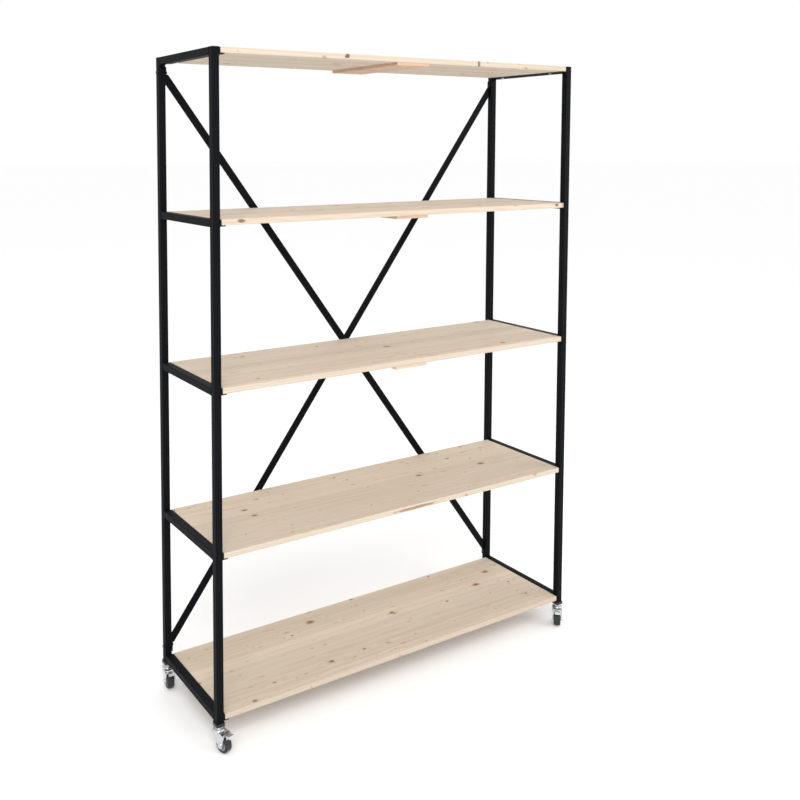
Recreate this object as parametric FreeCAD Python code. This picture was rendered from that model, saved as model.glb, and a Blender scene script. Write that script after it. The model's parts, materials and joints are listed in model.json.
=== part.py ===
"""Open rolling bookcase: two welded steel side frames, five spruce boards, X brace, castors.

Millimetres, +Z up. The front of the bookcase faces -Y and its width runs along X.
The origin lies on the floor, under the centre of the whole object's box.
"""
import FreeCAD
import Part
import math
import os

from FreeCAD import Vector

# ---- driving dimensions -------------------------------------------------------------
TUBE = 20.0                 # square tube of posts and side rails
WALL = 1.5
BOARD_LENGTH = 1200.0
BOARD_THICKNESS = 15.0
BOARD_GAP = 1.0             # play between a board's end and its support angle
DEPTH = 350.0               # over the posts, front to back
SHELF_COUNT = 5
SHELF_PITCH = 425.0
CASTOR_HEIGHT = 62.0        # floor to the underside of the foot socket
SOCKET_FLANGE = 8.0
SOCKET_OVERHANG = 5.0       # flange wider than the tube by this much
SOCKET_PLUG = 28.0          # length of the plug inside the post
STEM_DEPTH = 45.0           # stem above the underside of the foot socket
RAIL_LIFT = 2.0             # bottom rail above the post's lower end
EDGE_ROUND = 1.8            # outer corner radius of the tube

ANGLE_THICKNESS = 3.0       # support angle under each board end
ANGLE_LEG = 15.0
ANGLE_RISE = 2.0            # rail's lower face to the angle's flat leg
BATTEN_WIDTH = 110.0
BATTEN_THICKNESS = 8.0
BATTEN_BOARDS = (1, 2, 3)   # the lower boards have no batten
BATTEN_END_GAP = 2.0

BRACE_WIDTH = 22.0
BRACE_THICKNESS = 3.0
BRACE_SETBACK = 8.0         # rear face of the posts to the rear bar
PLATE_HEIGHT = 50.0
PLATE_DEPTH = 18.0
PLATE_RAIL_GAP = 6.0
BOLT_RADIUS = 3.0
BOLT_CLEARANCE = 0.2
BOLT_HEAD_RADIUS = 6.0
BOLT_HEAD_HEIGHT = 3.6
NUT_RADIUS = 5.2
NUT_HEIGHT = 3.0

SCREW_RADIUS = 2.0
SCREW_HEAD_RADIUS = 4.0
SCREW_HEAD_HEIGHT = 2.4
BOARD_SCREW_BITE = 10.0
BATTEN_SCREW_BITE = 9.0

WHEEL_RADIUS = 21.0
WHEEL_WIDTH = 20.0
HUB_RADIUS = 14.5
HUB_BOSS_RADIUS = 6.5
AXLE_RADIUS = 4.0
AXLE_FIT = 0.08
STEM_RADIUS = 5.0
STEM_FIT = 0.1
TRAIL = 19.0                # swivel axis to wheel axle
FORK_GAP = 11.8             # centre plane to the inner face of a fork leg
FORK_PLATE = 2.4
HOUSING_RADIUS = 15.0
HOUSING_BOTTOM = 45.5
HOUSING_TOP = 55.0
HOUSING_ROUND = 3.0
AXIAL_GAP = 0.4
PEDAL_PIVOT = (27.0, 46.2)  # ahead of and above the swivel axis, in the fork's plane
PEDAL_PIN_RADIUS = 2.0
PEDAL_EYE_RADIUS = 3.4
PEDAL_LENGTH = 23.0
PEDAL_WIDTH = 17.0
PEDAL_THICKNESS = 2.2
PEDAL_LIP = 5.0             # turned-down edge of the tread plate
PEDAL_RISE = 14.0           # degrees that the released tread plate points upwards
SHOE_START = 4.5            # ahead of the pivot
SHOE_END = 8.5
SHOE_DROP = 6.3             # below the pivot
SHOE_WIDTH = 13.0
WASHER_RADIUS = 11.0
RIVET_RADIUS = 8.0          # stem's riveted head under the housing
RIVET_HEIGHT = 2.4
FORK_TOE_RADIUS = 8.0       # round end of each fork cheek at the axle
AXLE_HEAD_RADIUS = 5.8
AXLE_HEAD_HEIGHT = 2.4
TYRE_ROUND = 3.5
HUB_RIM = 3.0               # wheel centre's solid rim outside its dished web
HUB_DISH = 3.0

# direction in which each castor trails, in degrees from +X towards +Y
CASTOR_HEADINGS = {
    "front_left": -75.0,
    "front_right": -136.0,
    "rear_left": -98.0,
    "rear_right": 152.0,
}

# ---- sizes worked out from the driving ones -------------------------------------------
INNER = BOARD_LENGTH + 2 * (BOARD_GAP + ANGLE_THICKNESS)   # between the side frames
WIDTH = INNER + 2 * TUBE
POST_BOTTOM = CASTOR_HEIGHT + SOCKET_FLANGE
LOWEST_TOP = POST_BOTTOM + RAIL_LIFT + TUBE
POST_TOP = LOWEST_TOP + (SHELF_COUNT - 1) * SHELF_PITCH
FRONT = -DEPTH / 2
BACK = DEPTH / 2
BOARD_DEPTH = DEPTH - TUBE - BATTEN_END_GAP
SIDES = {"left": -1, "right": 1}
ENDS = {"front": -1, "rear": 1}
AXLE_LENGTH = 2 * (FORK_GAP + FORK_PLATE) + 1.0


def shelf_top(number):
    """Height of the upper face of board and rail; shelf 1 is the top one."""
    return POST_TOP - (number - 1) * SHELF_PITCH


def box(x0, x1, y0, y1, z0, z1):
    return Part.makeBox(x1 - x0, y1 - y0, z1 - z0, Vector(x0, y0, z0))


def centred_box(centre, size):
    cx, cy, cz = centre
    sx, sy, sz = size
    return box(cx - sx / 2, cx + sx / 2, cy - sy / 2, cy + sy / 2, cz - sz / 2, cz + sz / 2)


def rod(radius, length, start, direction):
    return Part.makeCylinder(radius, length, Vector(*start), Vector(*direction))


def post_centre(side, end):
    return (SIDES[side] * (WIDTH - TUBE) / 2, ENDS[end] * (DEPTH - TUBE) / 2)


def rounded_edges(shape, radius, direction):
    """Round the four outer long edges of a box that run along a direction."""
    edges = [e for e in shape.Edges if abs(e.tangentAt(e.FirstParameter).dot(direction)) > 0.99]
    return shape.makeFillet(radius, edges)


def square_tube(x0, x1, y0, y1, z0, z1, direction):
    """Hollow square tube between two corners, open at both ends."""
    outer = rounded_edges(box(x0, x1, y0, y1, z0, z1), EDGE_ROUND, direction)
    shrink = [WALL * (1 - abs(part)) for part in direction]
    inner = box(x0 + shrink[0], x1 - shrink[0], y0 + shrink[1], y1 - shrink[1],
                z0 + shrink[2], z1 - shrink[2])
    return outer.cut(inner)


# ---- side frames ----------------------------------------------------------------------
def brace_bolt_heights():
    top = shelf_top(1) - TUBE - PLATE_RAIL_GAP - PLATE_HEIGHT * 0.3
    bottom = shelf_top(SHELF_COUNT) + PLATE_RAIL_GAP + PLATE_HEIGHT * 0.3
    return (top, bottom)


def brace_bolt_y():
    return BACK - TUBE / 2


def make_post(side, end):
    x, y = post_centre(side, end)
    half = TUBE / 2
    post = square_tube(x - half, x + half, y - half, y + half, POST_BOTTOM, POST_TOP,
                       Vector(0, 0, 1))
    if end == "rear":
        for z in brace_bolt_heights():
            hole = rod(BOLT_RADIUS + BOLT_CLEARANCE, 2 * TUBE, (x - TUBE, y, z), (1, 0, 0))
            post = post.cut(hole)
    return post


def make_rail(side, number):
    x, _ = post_centre(side, "front")
    half = TUBE / 2
    top = shelf_top(number)
    return square_tube(x - half, x + half, FRONT + TUBE, BACK - TUBE, top - TUBE, top,
                       Vector(0, 1, 0))


def make_support(side, number):
    """Steel angle: upright leg on the rail's inner face, flat leg under the board."""
    sign = SIDES[side]
    face = sign * INNER / 2
    top = shelf_top(number)
    back = FRONT + BOARD_DEPTH
    under = top - BOARD_THICKNESS
    foot = top - TUBE + ANGLE_RISE
    upright_x = sorted((face, face - sign * ANGLE_THICKNESS))
    flat_x = sorted((face, face - sign * ANGLE_LEG))
    upright = box(*upright_x, FRONT + 1.0, back, foot, top - 1.0)
    flat = box(*flat_x, FRONT + 1.0, back, foot, under)
    return upright.fuse(flat).removeSplitter()


def make_cap(side, end):
    """Steel plug welded into the top of a post, flush with its end."""
    x, y = post_centre(side, end)
    inside = TUBE - 2 * WALL
    return centred_box((x, y, POST_TOP - 1.5), (inside, inside, 3.0))


def make_socket(side, end):
    """Foot insert: a plug inside the post and a flange below it, bored for the stem."""
    x, y = post_centre(side, end)
    inside = TUBE - 2 * WALL - 0.2
    flange = centred_box((x, y, CASTOR_HEIGHT + SOCKET_FLANGE / 2),
                         (TUBE + SOCKET_OVERHANG, TUBE + SOCKET_OVERHANG, SOCKET_FLANGE))
    flange = rounded_edges(flange, 3.0, Vector(0, 0, 1))
    plug = centred_box((x, y, POST_BOTTOM + SOCKET_PLUG / 2), (inside, inside, SOCKET_PLUG))
    bore = rod(STEM_RADIUS, STEM_DEPTH, (x, y, CASTOR_HEIGHT), (0, 0, 1))
    return flange.fuse(plug).cut(bore)


# ---- boards ---------------------------------------------------------------------------
def board_screw_places(number):
    inset = 60.0
    under = shelf_top(number) - TUBE + ANGLE_RISE
    x = INNER / 2 - ANGLE_THICKNESS - (ANGLE_LEG - ANGLE_THICKNESS) / 2
    return [(sx * x, y, under) for sx in (-1, 1) for y in (FRONT + inset, BACK - TUBE - inset)]


def batten_screw_places(number):
    under = shelf_top(number) - BOARD_THICKNESS - BATTEN_THICKNESS
    middle = FRONT + BOARD_DEPTH / 2
    spread = BOARD_DEPTH * 0.36
    return [(0.0, middle + k * spread, under) for k in (-1, 0, 1)]


def board_screw(place):
    """Round-head screw driven up through the support angle."""
    x, y, z = place
    shank = rod(SCREW_RADIUS, ANGLE_THICKNESS + BOARD_SCREW_BITE, place, (0, 0, 1))
    head = rod(SCREW_HEAD_RADIUS, SCREW_HEAD_HEIGHT, (x, y, z - SCREW_HEAD_HEIGHT), (0, 0, 1))
    rim = [e for e in head.Edges if abs(e.BoundBox.ZMax - (z - SCREW_HEAD_HEIGHT)) < 1e-6]
    return head.makeFillet(1.4, rim).fuse(shank)


def batten_screw(place):
    """Countersunk screw, flush with the batten's lower face."""
    shank = rod(SCREW_RADIUS, BATTEN_THICKNESS + BATTEN_SCREW_BITE, place, (0, 0, 1))
    head = Part.makeCone(SCREW_HEAD_RADIUS, SCREW_RADIUS, SCREW_HEAD_HEIGHT, Vector(*place))
    return head.fuse(shank)


def make_board(number):
    top = shelf_top(number)
    half = BOARD_LENGTH / 2
    board = box(-half, half, FRONT, FRONT + BOARD_DEPTH, top - BOARD_THICKNESS, top)
    board = board.makeChamfer(0.8, board.Edges)
    for place in board_screw_places(number):
        board = board.cut(board_screw(place))
    if number in BATTEN_BOARDS:
        for place in batten_screw_places(number):
            board = board.cut(batten_screw(place))
    return board


def make_batten(number):
    under = shelf_top(number) - BOARD_THICKNESS
    half = BATTEN_WIDTH / 2
    batten = box(-half, half, FRONT + BATTEN_END_GAP, FRONT + BOARD_DEPTH - BATTEN_END_GAP,
                 under - BATTEN_THICKNESS, under)
    for place in batten_screw_places(number):
        batten = batten.cut(batten_screw(place))
    return batten


# ---- X brace --------------------------------------------------------------------------
def plate_centres():
    top = shelf_top(1) - TUBE - PLATE_RAIL_GAP - PLATE_HEIGHT / 2
    bottom = shelf_top(SHELF_COUNT) + PLATE_RAIL_GAP + PLATE_HEIGHT / 2
    return (top, bottom)


def make_brace(left_high):
    """Flat bar from one rear post to the other, with a bolted foot plate at each end."""
    high, low = plate_centres()
    z_left = high if left_high else low
    z_right = low if left_high else high
    rear = BACK - BRACE_SETBACK
    back = rear - BRACE_THICKNESS if left_high else rear
    reach = INNER / 2
    slope = math.atan2(z_right - z_left, INNER)
    length = math.hypot(INNER, z_right - z_left) + 2 * BRACE_WIDTH
    bar = centred_box((0, 0, 0), (length, BRACE_THICKNESS, BRACE_WIDTH))
    bar.rotate(Vector(0, 0, 0), Vector(0, 1, 0), -math.degrees(slope))
    bar.translate(Vector(0, back - BRACE_THICKNESS / 2, (z_left + z_right) / 2))
    bar = bar.common(box(-reach, reach, FRONT, BACK, POST_BOTTOM, POST_TOP))
    bolt_top, bolt_bottom = brace_bolt_heights()
    for sign, z in ((-1, z_left), (1, z_right)):
        x = sign * (reach - BRACE_THICKNESS / 2)
        plate = centred_box((x, BACK - TUBE / 2, z), (BRACE_THICKNESS, PLATE_DEPTH, PLATE_HEIGHT))
        bar = bar.fuse(plate)
        hole_z = bolt_top if z == high else bolt_bottom
        hole = rod(BOLT_RADIUS + BOLT_CLEARANCE, 6 * NUT_HEIGHT,
                   (x - 3 * NUT_HEIGHT, brace_bolt_y(), hole_z), (1, 0, 0))
        nut_room = rod(NUT_RADIUS + 1.2, 3 * NUT_HEIGHT,
                       (sign * (reach - BRACE_THICKNESS), brace_bolt_y(), hole_z), (-sign, 0, 0))
        bar = bar.cut(hole).cut(nut_room)
    middle = (z_left + z_right) / 2
    return bar.cut(rod(BOLT_RADIUS, 2 * TUBE, (0, BACK - 2 * TUBE, middle), (0, 1, 0)))


def make_brace_bolt(sign, z):
    """Dome-head bolt along X: head on the post's outer face, thread past the foot plate."""
    outer = WIDTH / 2
    y = brace_bolt_y()
    length = TUBE + BRACE_THICKNESS + NUT_HEIGHT + 2.0
    shank = rod(BOLT_RADIUS, length, (sign * outer, y, z), (-sign, 0, 0))
    disc = rod(BOLT_HEAD_RADIUS, BOLT_HEAD_HEIGHT, (sign * outer, y, z), (sign, 0, 0))
    far = sign * (outer + BOLT_HEAD_HEIGHT)
    rim = [e for e in disc.Edges if abs(e.BoundBox.XMin - far) < 1e-6 and e.BoundBox.XLength < 1e-6]
    dome = disc.makeFillet(BOLT_HEAD_HEIGHT * 0.8, rim)
    return dome.fuse(shank)


def hexagon_prism(radius, height):
    corners = [Vector(radius * math.cos(math.radians(60 * k)),
                      radius * math.sin(math.radians(60 * k)), 0) for k in range(7)]
    return Part.Face(Part.makePolygon(corners)).extrude(Vector(0, 0, height))


def make_brace_nut(sign, z):
    nut = hexagon_prism(NUT_RADIUS, NUT_HEIGHT)
    nut = nut.cut(rod(BOLT_RADIUS, NUT_HEIGHT, (0, 0, 0), (0, 0, 1)))
    nut.rotate(Vector(0, 0, 0), Vector(0, 1, 0), -sign * 90)
    nut.translate(Vector(sign * (INNER / 2 - BRACE_THICKNESS), brace_bolt_y(), z))
    return nut


def make_crossing_rivet():
    """Rivet where the two bars cross, with a low round head on each side."""
    high, low = plate_centres()
    z = (high + low) / 2
    rear = BACK - BRACE_SETBACK
    front = rear - 2 * BRACE_THICKNESS
    body = rod(BOLT_RADIUS, rear - front, (0, front, z), (0, 1, 0))
    for face, sense in ((front, -1), (rear, 1)):
        head = rod(BOLT_HEAD_RADIUS * 0.8, 2.0, (0, face, z), (0, sense, 0))
        body = body.fuse(head)
    return body


# ---- castors, modelled with the swivel axis on Z and the wheel trailing along +X -------
def stem_shape():
    """Threaded stem with its top washer and the riveted head below the swivel housing."""
    washer = rod(WASHER_RADIUS, CASTOR_HEIGHT - HOUSING_TOP - AXIAL_GAP, (0, 0, HOUSING_TOP + AXIAL_GAP),
                 (0, 0, 1))
    head = rod(RIVET_RADIUS, RIVET_HEIGHT, (0, 0, HOUSING_BOTTOM - AXIAL_GAP - RIVET_HEIGHT),
               (0, 0, 1))
    shank = rod(STEM_RADIUS, STEM_DEPTH + CASTOR_HEIGHT - HOUSING_BOTTOM + AXIAL_GAP,
                (0, 0, HOUSING_BOTTOM - AXIAL_GAP), (0, 0, 1))
    return washer.fuse([head, shank])


def fork_leg(side_sign):
    """Pressed steel cheek from the swivel housing down round the axle."""
    px, pz = PEDAL_PIVOT
    brow = HOUSING_BOTTOM + 3.0
    waist = WHEEL_RADIUS - 2.0
    outline = [(-11.0, brow), (-10.0, brow - 7.0), (TRAIL - 7.5, waist),
               (TRAIL + 7.5, waist), (px + 4.5, pz - 3.5), (px + 4.0, pz + 3.5),
               (px - 4.0, pz + 4.5), (-11.0, brow)]
    y = FORK_GAP if side_sign > 0 else -FORK_GAP - FORK_PLATE
    face = Part.Face(Part.makePolygon([Vector(x, y, z) for x, z in outline]))
    cheek = face.extrude(Vector(0, FORK_PLATE, 0))
    toe = rod(FORK_TOE_RADIUS, FORK_PLATE, (TRAIL, y, WHEEL_RADIUS), (0, 1, 0))
    return cheek.fuse(toe)


def fork_shape():
    housing = rod(HOUSING_RADIUS, HOUSING_TOP - HOUSING_BOTTOM, (0, 0, HOUSING_BOTTOM), (0, 0, 1))
    rim = [e for e in housing.Edges if abs(e.BoundBox.ZMin - HOUSING_TOP) < 1e-6]
    housing = housing.makeFillet(HOUSING_ROUND, rim)
    fork = housing.fuse([fork_leg(-1), fork_leg(1)])
    px, pz = PEDAL_PIVOT
    reach = 2 * (FORK_GAP + FORK_PLATE)
    fork = fork.cut(rod(STEM_RADIUS + STEM_FIT, 30.0, (0, 0, HOUSING_BOTTOM - 5), (0, 0, 1)))
    fork = fork.cut(rod(AXLE_RADIUS, reach, (TRAIL, -reach / 2, WHEEL_RADIUS), (0, 1, 0)))
    pin = rod(PEDAL_PIN_RADIUS, reach, (px, -reach / 2, pz), (0, 1, 0))
    return fork.fuse(pin).removeSplitter()


def axle_shape():
    """Shouldered axle, riveted with a low head outside each cheek."""
    half = AXLE_LENGTH / 2
    shaft = rod(AXLE_RADIUS, AXLE_LENGTH, (TRAIL, -half, WHEEL_RADIUS), (0, 1, 0))
    outside = FORK_GAP + FORK_PLATE
    heads = []
    for sense in (-1, 1):
        start = (TRAIL, sense * outside, WHEEL_RADIUS)
        heads.append(rod(AXLE_HEAD_RADIUS, AXLE_HEAD_HEIGHT, start, (0, sense, 0)))
    return shaft.fuse(heads)


def wheel_shape():
    """Wheel centre with a recessed web on each face and a bored boss."""
    half = WHEEL_WIDTH / 2 - 1.0
    centre = (TRAIL, -half, WHEEL_RADIUS)
    wheel = rod(HUB_RADIUS, 2 * half, centre, (0, 1, 0))
    for sense in (-1, 1):
        start = (TRAIL, sense * half, WHEEL_RADIUS)
        dish = rod(HUB_RADIUS - HUB_RIM, HUB_DISH, start, (0, -sense, 0))
        boss = rod(HUB_BOSS_RADIUS, HUB_DISH, start, (0, -sense, 0))
        wheel = wheel.cut(dish.cut(boss))
    boss_half = FORK_GAP - AXIAL_GAP
    boss = rod(HUB_BOSS_RADIUS, 2 * boss_half, (TRAIL, -boss_half, WHEEL_RADIUS), (0, 1, 0))
    bore = rod(AXLE_RADIUS + AXLE_FIT, 2 * FORK_GAP, (TRAIL, -FORK_GAP, WHEEL_RADIUS), (0, 1, 0))
    return wheel.fuse(boss).cut(bore)


def tyre_shape():
    half = WHEEL_WIDTH / 2
    start = (TRAIL, -half, WHEEL_RADIUS)
    tyre = rod(WHEEL_RADIUS, WHEEL_WIDTH, start, (0, 1, 0))
    rims = [e for e in tyre.Edges if e.BoundBox.YLength < 1e-6]
    tyre = tyre.makeFillet(TYRE_ROUND, rims)
    return tyre.cut(rod(HUB_RADIUS, WHEEL_WIDTH, start, (0, 1, 0)))


def pedal_shape():
    """Brake pedal: an eye on the pivot pin, a tread plate outwards and a shoe underneath."""
    px, pz = PEDAL_PIVOT
    width = PEDAL_WIDTH
    eye = rod(PEDAL_EYE_RADIUS, width, (px, -width / 2, pz), (0, 1, 0))
    plate = box(0, PEDAL_LENGTH, -width / 2, width / 2, 1.2, 1.2 + PEDAL_THICKNESS)
    lip = box(PEDAL_LENGTH - PEDAL_THICKNESS, PEDAL_LENGTH, -width / 2, width / 2,
              2.0 - PEDAL_LIP, 2.0)
    tread = plate.fuse(lip)
    tread.rotate(Vector(0, 0, 0), Vector(0, 1, 0), -PEDAL_RISE)
    tread.translate(Vector(px, 0, pz))
    grip = SHOE_WIDTH / 2
    shoe = box(px + SHOE_START, px + SHOE_END, -grip, grip, pz - SHOE_DROP, pz + 3.0)
    neck = box(px, px + SHOE_START + 1.0, -grip, grip, pz - 1.5, pz + 2.5)
    pedal = eye.fuse([tread, shoe, neck])
    bore = rod(PEDAL_PIN_RADIUS + AXLE_FIT, width, (px, -width / 2, pz), (0, 1, 0))
    return pedal.cut(bore)


def place_castor(shape, side, end):
    x, y = post_centre(side, end)
    heading = CASTOR_HEADINGS[end + "_" + side]
    placed = shape.copy()
    placed.rotate(Vector(0, 0, 0), Vector(0, 0, 1), heading)
    placed.translate(Vector(x, y, 0))
    return placed


# ---- the whole bookcase -----------------------------------------------------------------
def build():
    nodes = {}
    corners = [(side, end) for side in SIDES for end in ENDS]
    for side, end in corners:
        nodes["post_%s_%s" % (end, side)] = make_post(side, end)
    for number in range(1, SHELF_COUNT + 1):
        for side in SIDES:
            nodes["rail_%s_%d" % (side, number)] = make_rail(side, number)
        supports = [make_support(side, number) for side in SIDES]
        for place in board_screw_places(number):
            supports = [support.cut(board_screw(place)) for support in supports]
        nodes["shelf_supports_%d" % number] = Part.makeCompound(supports)
        nodes["board_%d" % number] = make_board(number)
        if number in BATTEN_BOARDS:
            nodes["batten_%d" % number] = make_batten(number)
    numbers = range(1, SHELF_COUNT + 1)
    nodes["board_screws"] = Part.makeCompound(
        [board_screw(place) for n in numbers for place in board_screw_places(n)])
    nodes["batten_screws"] = Part.makeCompound(
        [batten_screw(place) for n in BATTEN_BOARDS for place in batten_screw_places(n)])
    nodes["brace_falling"] = make_brace(True)
    nodes["brace_rising"] = make_brace(False)
    bolts = [(sign, z) for sign in (-1, 1) for z in brace_bolt_heights()]
    nodes["brace_bolts"] = Part.makeCompound([make_brace_bolt(*b) for b in bolts])
    nodes["brace_nuts"] = Part.makeCompound([make_brace_nut(*b) for b in bolts])
    nodes["brace_rivet"] = make_crossing_rivet()
    nodes["post_caps"] = Part.makeCompound([make_cap(*c) for c in corners])
    nodes["foot_sockets"] = Part.makeCompound([make_socket(*c) for c in corners])
    nodes["castor_stems"] = Part.makeCompound([place_castor(stem_shape(), *c) for c in corners])
    moving = {"fork": fork_shape(), "axle": axle_shape(), "wheel": wheel_shape(),
              "tyre": tyre_shape(), "pedal": pedal_shape()}
    for side, end in corners:
        for name, shape in moving.items():
            nodes["castor_%s_%s_%s" % (name, end, side)] = place_castor(shape, side, end)
    return nodes


def main():
    os.makedirs("parts", exist_ok=True)
    nodes = build()
    whole = FreeCAD.BoundBox()
    for shape in nodes.values():
        whole.add(shape.optimalBoundingBox(False))
    shift = Vector(-whole.Center.x, -whole.Center.y, -whole.ZMin)
    for name, shape in nodes.items():
        shape.translate(shift)
        shape.exportStep("parts/%s.step" % name)
    print("nodes %d, frame centre %.4f %.4f, floor %.4f" % (len(nodes), *shift))
    print("size %.2f x %.2f x %.2f mm" % (whole.XLength, whole.YLength, whole.ZLength))


main()
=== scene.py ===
"""Rolling bookcase with five spruce boards: materials, weld beads, castor detail, light, camera."""
import json
import math

import bmesh
import bpy
from mathutils import Matrix, Vector


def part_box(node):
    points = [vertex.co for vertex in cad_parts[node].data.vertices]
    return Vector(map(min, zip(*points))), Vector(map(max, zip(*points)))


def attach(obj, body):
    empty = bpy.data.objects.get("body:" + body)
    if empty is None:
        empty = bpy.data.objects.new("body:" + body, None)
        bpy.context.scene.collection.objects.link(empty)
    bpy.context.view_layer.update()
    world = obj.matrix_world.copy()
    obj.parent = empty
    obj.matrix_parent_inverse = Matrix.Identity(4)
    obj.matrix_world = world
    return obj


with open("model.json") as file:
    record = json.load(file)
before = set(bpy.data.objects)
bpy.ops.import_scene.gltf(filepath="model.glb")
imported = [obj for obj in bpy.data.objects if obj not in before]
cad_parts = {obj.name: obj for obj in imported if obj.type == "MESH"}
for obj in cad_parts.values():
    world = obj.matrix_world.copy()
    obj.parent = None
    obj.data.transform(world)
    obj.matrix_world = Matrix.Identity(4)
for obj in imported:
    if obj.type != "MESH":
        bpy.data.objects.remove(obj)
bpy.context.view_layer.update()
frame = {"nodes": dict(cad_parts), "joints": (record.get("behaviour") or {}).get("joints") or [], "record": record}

SHELVES = range(1, 6)
CORNERS = ("front_left", "front_right", "rear_left", "rear_right")

# ---- small helpers ------------------------------------------------------------------------


class Nodes:
    """Thin wrapper that keeps shader set-up readable."""

    def __init__(self, material):
        material.use_nodes = True
        self.tree = material.node_tree
        self.tree.nodes.clear()
        self.out = self.tree.nodes.new("ShaderNodeOutputMaterial")
        self.bsdf = self.tree.nodes.new("ShaderNodeBsdfPrincipled")
        self.link(self.bsdf.outputs[0], self.out.inputs[0])
        self.coords = self.tree.nodes.new("ShaderNodeTexCoord").outputs["Object"]

    def link(self, source, target):
        self.tree.links.new(source, target)

    def put(self, value, socket):
        if isinstance(value, bpy.types.NodeSocket):
            self.link(value, socket)
        else:
            socket.default_value = value

    def math(self, operation, a, b=0.0, c=0.0, clamp=False):
        node = self.tree.nodes.new("ShaderNodeMath")
        node.operation = operation
        node.use_clamp = clamp
        for value, socket in zip((a, b, c), node.inputs):
            self.put(value, socket)
        return node.outputs[0]

    def vector(self, operation, a, b=(0, 0, 0)):
        node = self.tree.nodes.new("ShaderNodeVectorMath")
        node.operation = operation
        self.put(a, node.inputs[0])
        self.put(b, node.inputs[1])
        return node.outputs["Value" if operation in ("LENGTH", "DISTANCE") else "Vector"]

    def split(self, vector):
        node = self.tree.nodes.new("ShaderNodeSeparateXYZ")
        self.link(vector, node.inputs[0])
        return node.outputs

    def join(self, x, y, z):
        node = self.tree.nodes.new("ShaderNodeCombineXYZ")
        for value, socket in zip((x, y, z), node.inputs):
            self.put(value, socket)
        return node.outputs[0]

    def noise(self, vector, scale, detail=2.0, rough=0.5):
        node = self.tree.nodes.new("ShaderNodeTexNoise")
        self.link(vector, node.inputs["Vector"])
        node.inputs["Scale"].default_value = scale
        node.inputs["Detail"].default_value = detail
        node.inputs["Roughness"].default_value = rough
        return node.outputs["Fac"]

    def white(self, value, dimensions="1D"):
        node = self.tree.nodes.new("ShaderNodeTexWhiteNoise")
        node.noise_dimensions = dimensions
        self.put(value, node.inputs["W" if dimensions == "1D" else "Vector"])
        return node.outputs["Value"], node.outputs["Color"]

    def smooth(self, value, low, high, to_low=0.0, to_high=1.0):
        node = self.tree.nodes.new("ShaderNodeMapRange")
        node.interpolation_type = "SMOOTHSTEP"
        for socket, item in zip(node.inputs, (value, low, high, to_low, to_high)):
            self.put(item, socket)
        return node.outputs[0]

    def mix(self, factor, a, b, blend="MIX"):
        node = self.tree.nodes.new("ShaderNodeMix")
        node.data_type = "RGBA"
        node.blend_type = blend
        self.put(factor, node.inputs[0])
        for value, socket in ((a, node.inputs[6]), (b, node.inputs[7])):
            self.put((*value, 1.0) if isinstance(value, tuple) else value, socket)
        return node.outputs[2]

    def bump(self, height, strength, distance):
        node = self.tree.nodes.new("ShaderNodeBump")
        node.inputs["Strength"].default_value = strength
        node.inputs["Distance"].default_value = distance
        self.link(height, node.inputs["Height"])
        self.link(node.outputs[0], self.bsdf.inputs["Normal"])

    def set(self, **values):
        for name, value in values.items():
            self.put(value, self.bsdf.inputs[name.replace("_", " ")])


def new_material(name):
    return bpy.data.materials.new(name)


def assign(node_name, material):
    mesh = frame["nodes"][node_name].data
    mesh.materials.clear()
    mesh.materials.append(material)


def edge_wear(n, width=0.0012):
    """Mask that is 1 on sharp corners and 0 on flat faces, from a bevelled normal."""
    bevel = n.tree.nodes.new("ShaderNodeBevel")
    bevel.inputs["Radius"].default_value = width
    geometry = n.tree.nodes.new("ShaderNodeNewGeometry")
    apart = n.vector("DISTANCE", bevel.outputs[0], geometry.outputs["Normal"])
    return n.smooth(apart, 0.15, 0.6)


# ---- wood ---------------------------------------------------------------------------------
LAMELLA = 0.046          # width of one glued strip
RING = 0.0026            # spacing of growth rings
KNOT_CELL = 0.21         # length of strip that holds at most one knot


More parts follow.
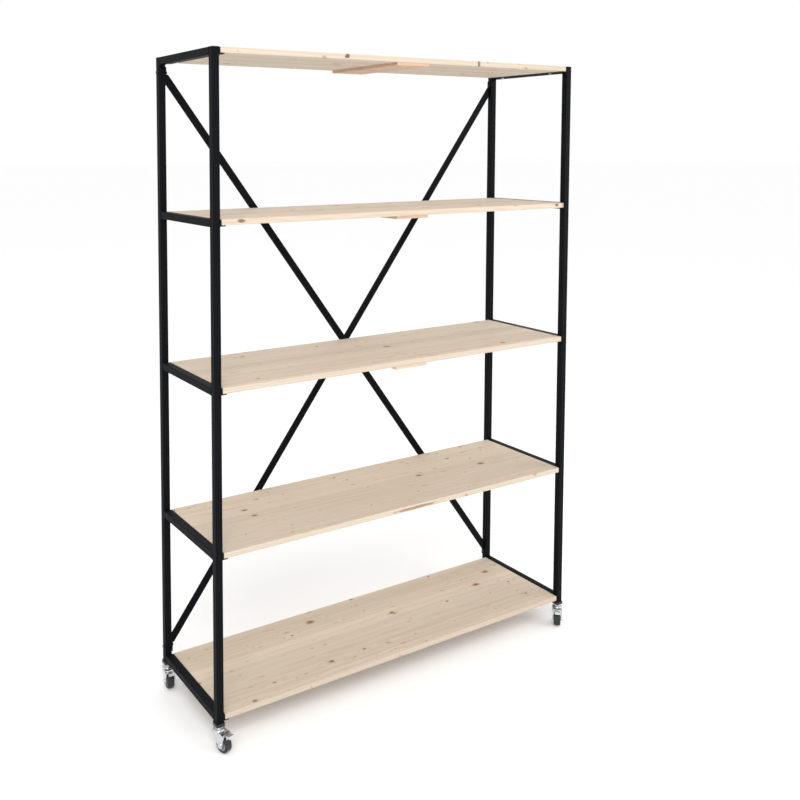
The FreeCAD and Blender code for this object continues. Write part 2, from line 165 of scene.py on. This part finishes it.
def wood(name, seed, light, dark, knot_amount=0.5, marks=(), lamella=LAMELLA):
    """Edge-glued spruce: strips along X with their own rings, flowing round knots.

    Each mark is (centre, half sizes, colour, strength) in the board's own space.
    """
    material = new_material(name)
    n = Nodes(material)
    place = n.vector("ADD", n.coords, (seed * 3.7, seed * 0.013, 0.0))
    x, y, z = n.split(place)
    # the strips are bands of equal width across Y, each with its own random tint
    strip_place = n.math("DIVIDE", y, lamella)
    strip = n.math("FLOOR", strip_place)
    within = n.math("FRACT", strip_place)
    _, tint = n.white(n.math("ADD", strip, seed * 17.3))
    r1, r2, r3 = n.split(tint)
    # each strip is cut from its own length of timber
    xs = n.math("ADD", x, n.math("MULTIPLY", r1, 40.0))
    # knots: sparse cells along each strip
    knot_mask, knot_core, knot_bend = knots(n, xs, y, z, strip, seed, knot_amount)
    # rings: distance to a pith line that lies off the strip and wanders along X
    wander = n.noise(n.join(n.math("MULTIPLY", xs, 1.6), n.math("MULTIPLY", r2, 9.0), 0.0),
                     1.0, 2.0)
    drift = n.math("MULTIPLY", n.math("SUBTRACT", wander, 0.5), 0.055)
    yc = n.math("ADD", n.math("MULTIPLY", n.math("SUBTRACT", r2, 0.5), 0.05), drift)
    dy = n.math("SUBTRACT", n.math("MULTIPLY", n.math("SUBTRACT", within, 0.5), lamella), yc)
    z_local = n.math("FRACT", z)
    zc = n.math("ADD", n.math("MULTIPLY", r3, 0.05), 0.018)
    dz = n.math("ADD", n.math("MULTIPLY", n.math("SUBTRACT", z_local, 0.5), 0.35), zc)
    radius = n.vector("LENGTH", n.join(dy, dz, 0.0))
    ripple = n.noise(n.join(n.math("MULTIPLY", xs, 7.0), n.math("MULTIPLY", y, 60.0), z), 1.0, 3.0)
    radius = n.math("ADD", radius, n.math("MULTIPLY", ripple, 0.0022))
    radius = n.math("ADD", radius, n.math("MULTIPLY", knot_bend, 0.009))
    spacing = n.math("ADD", RING * 0.75, n.math("MULTIPLY", r1, RING * 0.6))
    ring = n.math("FRACT", n.math("DIVIDE", radius, spacing))
    late = n.math("MULTIPLY", n.smooth(ring, 0.25, 0.9), n.smooth(ring, 1.0, 0.93))
    # fibres and long soft streaks
    fibre = n.noise(n.join(n.math("MULTIPLY", xs, 12.0), n.math("MULTIPLY", y, 900.0),
                           n.math("MULTIPLY", z, 900.0)), 1.0, 2.0)
    streak = n.noise(n.join(n.math("MULTIPLY", xs, 2.2), n.math("MULTIPLY", y, 85.0),
                            n.math("MULTIPLY", z, 60.0)), 1.0, 3.0)
    color = n.mix(n.math("MULTIPLY", late, 0.34), light, dark)
    color = n.mix(n.smooth(streak, 0.35, 0.75, 0.0, 0.30), color, dark)
    tone = n.math("ADD", 0.93, n.math("MULTIPLY", r3, 0.13))
    tone = n.math("ADD", tone, n.math("MULTIPLY", n.math("SUBTRACT", fibre, 0.5), 0.16))
    color = n.mix(1.0, color, n.join(tone, tone, tone), "MULTIPLY")
    pink = n.mix(r1, (1.0, 1.0, 1.0), (1.0, 0.972, 0.94))
    color = n.mix(0.8, color, pink, "MULTIPLY")
    # glue line between strips
    seam = n.math("ABSOLUTE", n.math("SUBTRACT", within, 0.5))
    seam_line = n.smooth(seam, 0.5 - 0.0006 / lamella, 0.5)
    color = n.mix(n.math("MULTIPLY", seam_line, 0.35), color, (0.36, 0.24, 0.15))
    # knots last: a reddish rim round a dark core
    color = n.mix(n.math("MULTIPLY", knot_mask, 0.75), color, (0.42, 0.22, 0.10))
    color = n.mix(n.math("MULTIPLY", knot_core, 0.8), color, (0.16, 0.085, 0.045))
    fleck_mask = flecks(n, xs, y, z, seed)
    color = n.mix(fleck_mask, color, (0.40, 0.26, 0.15))
    for centre, half, tint, strength in marks:
        color = n.mix(mark_mask(n, centre, half, strength), color, tint)
    rough = n.math("ADD", 0.55, n.math("MULTIPLY", fibre, 0.2))
    height = n.math("ADD", n.math("MULTIPLY", fibre, 0.5), n.math("MULTIPLY", late, 0.4))
    height = n.math("SUBTRACT", height, n.math("MULTIPLY", seam_line, 1.2))
    n.set(Base_Color=color, Roughness=rough, Specular_IOR_Level=0.35)
    n.bump(height, 0.35, 0.0004)
    return material


def flecks(n, xs, y, z, seed):
    """Short dark streaks and pin knots, drawn out along the grain."""
    spots = n.noise(n.join(n.math("MULTIPLY", xs, 30.0), n.math("MULTIPLY", y, 80.0),
                           n.math("ADD", n.math("MULTIPLY", z, 40.0), seed * 3.1)), 1.0, 1.0)
    patch = n.noise(n.join(n.math("MULTIPLY", xs, 5.0), n.math("MULTIPLY", y, 11.0), seed * 1.7),
                    1.0, 1.0)
    mask = n.math("MULTIPLY", n.smooth(spots, 0.67, 0.73), n.smooth(patch, 0.45, 0.58))
    return n.math("MULTIPLY", mask, 0.8)


def mark_mask(n, centre, half, strength):
    """Soft ragged ellipsoid round one natural defect of a board."""
    away = n.vector("DIVIDE", n.vector("SUBTRACT", n.coords, tuple(centre)), tuple(half))
    ragged = n.noise(n.vector("MULTIPLY", n.coords, (60.0, 220.0, 220.0)), 1.0, 3.0)
    reach = n.math("ADD", n.vector("LENGTH", away), n.math("SUBTRACT", ragged, 0.5))
    return n.smooth(reach, 1.1, 0.6, 0.0, strength)


def knots(n, xs, y, z, strip, seed, amount):
    """Masks of knot rim and core, and how far each knot pushes the rings aside."""
    cell = n.math("FLOOR", n.math("DIVIDE", xs, KNOT_CELL))
    inside = n.math("MULTIPLY", n.math("FRACT", n.math("DIVIDE", xs, KNOT_CELL)), KNOT_CELL)
    chance, tint = n.white(n.join(cell, strip, seed * 5.1), "3D")
    k1, k2, k3 = n.split(tint)
    _, tint2 = n.white(n.join(strip, cell, seed * 2.3 + 7.0), "3D")
    present = n.math("LESS_THAN", n.split(tint2)[0], amount)
    middle_x = n.math("ADD", KNOT_CELL * 0.2, n.math("MULTIPLY", k1, KNOT_CELL * 0.6))
    strip_low = n.math("MULTIPLY", strip, LAMELLA)
    off_edge = n.math("ADD", LAMELLA * 0.2, n.math("MULTIPLY", k2, LAMELLA * 0.6))
    middle_y = n.math("ADD", strip_low, off_edge)
    dx = n.math("SUBTRACT", inside, middle_x)
    dy = n.math("SUBTRACT", y, middle_y)
    size = n.math("ADD", 0.0018, n.math("MULTIPLY", n.math("POWER", k3, 2.6), 0.0085))
    uneven = n.noise(n.join(n.math("MULTIPLY", xs, 160.0), n.math("MULTIPLY", y, 160.0), z),
                     1.0, 2.0)
    away = n.vector("LENGTH", n.join(n.math("MULTIPLY", dx, 0.62), dy, 0.0))
    away = n.math("MULTIPLY", away, n.math("ADD", 0.8, n.math("MULTIPLY", uneven, 0.4)))
    ratio = n.math("DIVIDE", away, size)
    rim = n.math("MULTIPLY", n.smooth(ratio, 1.25, 0.75), present)
    core = n.math("MULTIPLY", n.smooth(ratio, 0.8, 0.35), present)
    reach = n.math("ADD", size, 0.004)
    stretched = n.vector("LENGTH", n.join(n.math("MULTIPLY", dx, 0.3), dy, 0.0))
    squared = n.math("POWER", n.math("DIVIDE", stretched, reach), 2.0)
    bend = n.math("EXPONENT", n.math("MULTIPLY", squared, -1.0))
    bend = n.math("MULTIPLY", bend, n.math("MULTIPLY", present, n.math("MULTIPLY", size, 120.0)))
    return rim, core, bend


# ---- metals, plastic and rubber ---------------------------------------------------------------
def black_steel():
    """Fine-structured satin powder coat, thinner and lighter on the tube's corners."""
    material = new_material("black_powder_coat")
    n = Nodes(material)
    fine = n.noise(n.coords, 1500.0, 2.0)
    peel = n.noise(n.coords, 240.0, 2.0)
    cloud = n.noise(n.coords, 9.0, 3.0)
    dust = n.smooth(n.noise(n.coords, 60.0, 4.0, 0.7), 0.62, 0.8)
    wear = n.math("MULTIPLY", edge_wear(n), n.smooth(cloud, 0.4, 0.7))
    color = n.mix(cloud, (0.0030, 0.0035, 0.0047), (0.0052, 0.0058, 0.0075))
    color = n.mix(n.math("MULTIPLY", dust, 0.15), color, (0.04, 0.041, 0.044))
    color = n.mix(n.math("MULTIPLY", wear, 0.3), color, (0.04, 0.042, 0.046))
    rough = n.math("ADD", 0.46, n.math("MULTIPLY", peel, 0.2))
    n.set(Base_Color=color, Roughness=rough, Specular_IOR_Level=0.06)
    n.bump(n.math("ADD", n.math("MULTIPLY", fine, 0.5), peel), 0.22, 0.0002)
    return material


def black_fastener():
    material = new_material("black_fastener")
    n = Nodes(material)
    fine = n.noise(n.coords, 900.0, 3.0)
    rub = n.math("MULTIPLY", edge_wear(n, 0.0006), 0.6)
    color = n.mix(rub, n.mix(fine, (0.010, 0.010, 0.011), (0.024, 0.024, 0.026)),
                  (0.16, 0.16, 0.17))
    rough = n.math("ADD", 0.32, n.math("MULTIPLY", fine, 0.2))
    n.set(Base_Color=color, Metallic=0.55, Roughness=rough)
    n.bump(fine, 0.15, 0.0002)
    return material


def zinc():
    """Bright zinc plating: soft mottling, drawing lines and a bluish cast."""
    material = new_material("bright_zinc")
    n = Nodes(material)
    spangle = n.noise(n.coords, 260.0, 3.0, 0.6)
    lines = n.noise(n.vector("MULTIPLY", n.coords, (1.0, 1.0, 14.0)), 320.0, 2.0)
    grime = n.smooth(n.noise(n.coords, 70.0, 3.0), 0.55, 0.8)
    color = n.mix(spangle, (0.50, 0.52, 0.54), (0.80, 0.81, 0.81))
    color = n.mix(n.math("MULTIPLY", grime, 0.35), color, (0.34, 0.32, 0.29))
    rough = n.math("ADD", 0.20, n.math("MULTIPLY", lines, 0.22))
    n.set(Base_Color=color, Metallic=1.0, Roughness=rough)
    n.bump(n.math("ADD", lines, n.math("MULTIPLY", spangle, 0.5)), 0.12, 0.0002)
    return material


def plain_moulding(name, low, high, roughness, scale=420.0):
    """Moulded plastic or rubber with a faint grain and handling marks."""
    material = new_material(name)
    n = Nodes(material)
    grain = n.noise(n.coords, scale * 3.0, 2.0)
    cloud = n.noise(n.coords, scale * 0.2, 3.0)
    scuff = n.smooth(n.noise(n.coords, scale * 0.5, 4.0, 0.7), 0.58, 0.75)
    color = n.mix(cloud, low, high)
    worn = tuple(min(1.0, v * 1.9 + 0.01) for v in high)
    color = n.mix(n.math("MULTIPLY", scuff, 0.35), color, worn)
    rough = n.math("ADD", roughness, n.math("MULTIPLY", scuff, 0.15))
    n.set(Base_Color=color, Roughness=rough)
    n.bump(n.math("ADD", grain, n.math("MULTIPLY", scuff, 0.4)), 0.2, 0.0003)
    return material


# ---- dress the CAD nodes ----------------------------------------------------------------------
STEEL = black_steel()
FASTENER = black_fastener()
ZINC = zinc()
FOOT_PLASTIC = plain_moulding("foot_plastic", (0.012, 0.012, 0.013), (0.022, 0.022, 0.024), 0.5)
HUB_PLASTIC = plain_moulding("hub_plastic", (0.24, 0.24, 0.245), (0.34, 0.34, 0.345), 0.45)
RUBBER = plain_moulding("tyre_rubber", (0.011, 0.011, 0.012), (0.022, 0.022, 0.024), 0.62)
SLOT_MATERIALS = {"black_steel": STEEL, "black_fastener": FASTENER, "zinc": ZINC,
                  "black_plastic": FOOT_PLASTIC, "hub_plastic": HUB_PLASTIC,
                  "tyre_rubber": RUBBER}
SPRUCE_LIGHT = (0.595, 0.512, 0.418)
SPRUCE_DARK = (0.465, 0.365, 0.262)
BATTEN_BOARDS = (1, 2, 3)
BATTEN_COLOURS = {1: ((0.60, 0.415, 0.30), (0.43, 0.26, 0.17)),
                  2: ((0.60, 0.415, 0.30), (0.43, 0.26, 0.17)),
                  3: ((0.63, 0.49, 0.36), (0.47, 0.33, 0.22))}


def dress_nodes():
    for part in frame["record"]["subparts"]:
        material = SLOT_MATERIALS.get(part["material_slot"])
        if material:
            assign(part["node"], material)
    for number in SHELVES:
        amount = 0.22 + 0.07 * number
        assign("board_%d" % number,
               wood("spruce_%d" % number, number * 1.37, SPRUCE_LIGHT, SPRUCE_DARK, amount,
                    board_marks(number)))
    for number in BATTEN_BOARDS:
        light, dark = BATTEN_COLOURS[number]
        assign("batten_%d" % number,
               wood("batten_wood_%d" % number, number * 2.11 + 30, light, dark, 0.1))


KNOT_BROWN = (0.13, 0.06, 0.03)
BARK_BROWN = (0.30, 0.17, 0.09)


def board_marks(number):
    """Natural defects of one board, placed from its own box, in the mesh's own space."""
    low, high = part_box("board_%d" % number)
    front, top, middle = low.y, high.z, (low.x + high.x) / 2
    defects = {
        1: [((middle - 0.224, front, top - 0.006), (0.010, 0.006, 0.007), KNOT_BROWN, 0.9)],
        2: [((low.x + 0.055, front, top - 0.006), (0.012, 0.006, 0.006), KNOT_BROWN, 0.8),
            ((high.x - 0.030, front, top - 0.006), (0.010, 0.006, 0.006), KNOT_BROWN, 0.8)],
        4: [((middle + 0.02, front, top - 0.009), (0.085, 0.005, 0.0045), BARK_BROWN, 0.85),
            ((low.x + 0.13, high.y - 0.085, top), (0.10, 0.0022, 0.004), BARK_BROWN, 0.6)],
    }
    to_mesh = frame["nodes"]["board_%d" % number].matrix_world.inverted()
    return [(to_mesh @ Vector(centre), half, tint, strength)
            for centre, half, tint, strength in defects.get(number, [])]


# ---- pieces made here -------------------------------------------------------------------------
def piece_from(bm, name, material, body):
    mesh = bpy.data.meshes.new(name)
    bmesh.ops.recalc_face_normals(bm, faces=bm.faces)
    bm.to_mesh(mesh)
    bm.free()
    mesh.shade_smooth()
    mesh.materials.append(material)
    obj = bpy.data.objects.new(name, mesh)
    bpy.context.scene.collection.objects.link(obj)
    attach(obj, body)
    return obj


def bead(bm, start, end, radius, steps=34, sides=8):
    """Weld bead: a thin tube whose radius swells with each puddle of weld."""
    axis = (end - start).normalized()
    side = axis.orthogonal().normalized()
    other = axis.cross(side)
    rings = []
    for step in range(steps + 1):
        share = step / steps
        taper = min(1.0, 6 * min(share, 1 - share) + 0.25)
        swell = radius * taper * (1.0 + 0.18 * math.sin(share * 44.0))
        centre = start.lerp(end, share)
        ring = [bm.verts.new(centre + (side * math.cos(a) + other * math.sin(a)) * swell)
                for a in (2 * math.pi * k / sides for k in range(sides))]
        rings.append(ring)
    for low, high in zip(rings, rings[1:]):
        for k in range(sides):
            bm.faces.new((low[k], low[(k + 1) % sides], high[(k + 1) % sides], high[k]))
    bm.faces.new(rings[0][::-1])
    bm.faces.new(rings[-1])


def weld_beads():
    """Beads where each side rail meets its two posts, under it and up its outer corner."""
    radius = 0.0011
    for side in ("left", "right"):
        for number in SHELVES:
            low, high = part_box("rail_%s_%d" % (side, number))
            bm = bmesh.new()
            for y in (low.y, high.y):
                bead(bm, Vector((low.x + 0.001, y, low.z)), Vector((high.x - 0.001, y, low.z)),
                     radius)
                outer = low.x if side == "left" else high.x
                bead(bm, Vector((outer, y, low.z)), Vector((outer, y, high.z - 0.001)),
                     radius * 0.7)
            piece_from(bm, "weld_%s_%d" % (side, number), STEEL, "frame")


def castor_races():
    """Rolled bearing-race lip round each swivel housing."""
    for corner in CORNERS:
        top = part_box("castor_fork_" + corner)[1].z
        joint = next(j for j in frame["joints"] if j["name"] == "castor_swivel_" + corner)
        centre = Vector((joint["pos_m"][0], joint["pos_m"][1], top))
        profile = [(0.0148, -0.0014), (0.0156, -0.0019), (0.0160, -0.0032), (0.0160, -0.0050),
                   (0.0155, -0.0064), (0.0148, -0.0068)]
        bm = bmesh.new()
        turn(bm, profile, centre)
        piece_from(bm, "race_" + corner, ZINC, "swivel_" + corner)


def turn(bm, profile, centre, sides=48):
    """Closed ring turned round a vertical axis from a closed profile."""
    rings = []
    for k in range(sides):
        angle = 2 * math.pi * k / sides
        rings.append([bm.verts.new(centre + Vector((r * math.cos(angle), r * math.sin(angle), z)))
                      for r, z in profile])
    count = len(profile)
    for k in range(sides):
        a, b = rings[k], rings[(k + 1) % sides]
        for i in range(count):
            j = (i + 1) % count
            bm.faces.new((a[i], a[j], b[j], b[i]))


# ---- studio -----------------------------------------------------------------------------------
FLOOR_SIZE = 70.0
LAMP_SIZE = 2.4
KEY_POWER = 90.0
FILL_POWER = 35.0


def studio():
    bm = bmesh.new()
    bmesh.ops.create_grid(bm, x_segments=2, y_segments=2, size=FLOOR_SIZE)
    mesh = bpy.data.meshes.new("floor")
    bm.to_mesh(mesh)
    bm.free()
    floor = bpy.data.objects.new("floor", mesh)
    material = new_material("floor")
    n = Nodes(material)
    soft = n.noise(n.coords, 1.3, 2.0)
    n.set(Base_Color=n.mix(soft, (0.985, 0.985, 0.988), (0.99, 0.99, 0.99)), Roughness=0.8,
          Specular_IOR_Level=0.1)
    mesh.materials.append(material)
    bpy.context.scene.collection.objects.link(floor)
    world = bpy.data.worlds.new("studio")
    bpy.context.scene.world = world
    world.use_nodes = True
    world.node_tree.nodes["Background"].inputs[0].default_value = (1.0, 1.0, 1.0, 1.0)
    world.node_tree.nodes["Background"].inputs[1].default_value = 1.0
    area_light("key", (-2.2, -3.0, 3.6), (0.0, 0.0, 0.7), LAMP_SIZE, KEY_POWER)
    area_light("fill", (3.0, -2.4, 2.2), (0.0, 0.0, 0.9), LAMP_SIZE, FILL_POWER)
    scene = bpy.context.scene
    scene.view_settings.view_transform = "Standard"
    scene.view_settings.exposure = 0.0


def area_light(name, place, target, size, power):
    data = bpy.data.lights.new(name, "AREA")
    data.shape = "DISK"
    data.size = size
    data.energy = power
    lamp = bpy.data.objects.new(name, data)
    lamp.location = place
    lamp.rotation_euler = (Vector(target) - Vector(place)).to_track_quat("-Z", "Y").to_euler()
    bpy.context.scene.collection.objects.link(lamp)


# ---- camera -----------------------------------------------------------------------------------
IMAGE_SIZE = 800.0
CAMERA_OFFSET = (-1.6175, -2.1924)   # from the middle of the four posts
CAMERA_BELOW_TOP = 0.2421            # from the top of the posts
CAMERA_YAW = 0.5315            # radians from +Y towards +X
CAMERA_PITCH = -0.0675
CAMERA_ROLL = -0.0028
FOCAL = 913.5                  # focal length in the same units as IMAGE_SIZE
SHIFT = (0.1493, -0.2412)


def camera_place():
    posts = [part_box("post_" + corner) for corner in CORNERS]
    middle_x = sum(low.x + high.x for low, high in posts) / 8
    middle_y = sum(low.y + high.y for low, high in posts) / 8
    top = max(high.z for _, high in posts)
    return Vector((middle_x + CAMERA_OFFSET[0], middle_y + CAMERA_OFFSET[1],
                   top - CAMERA_BELOW_TOP))


def camera():
    data = bpy.data.cameras.new("camera")
    data.sensor_width = 36.0
    data.lens = FOCAL / IMAGE_SIZE * data.sensor_width
    data.shift_x, data.shift_y = SHIFT
    obj = bpy.data.objects.new("camera", data)
    forward = Vector((math.sin(CAMERA_YAW) * math.cos(CAMERA_PITCH),
                      math.cos(CAMERA_YAW) * math.cos(CAMERA_PITCH), math.sin(CAMERA_PITCH)))
    right = Vector((math.cos(CAMERA_YAW), -math.sin(CAMERA_YAW), 0.0))
    up = right.cross(forward)
    turned = Matrix.Rotation(-CAMERA_ROLL, 3, forward)
    right, up = turned @ right, turned @ up
    obj.matrix_world = Matrix.Translation(camera_place()) @ Matrix(
        (right, up, -forward)).transposed().to_4x4()
    bpy.context.scene.collection.objects.link(obj)
    bpy.context.scene.camera = obj


dress_nodes()
weld_beads()
castor_races()
studio()
camera()
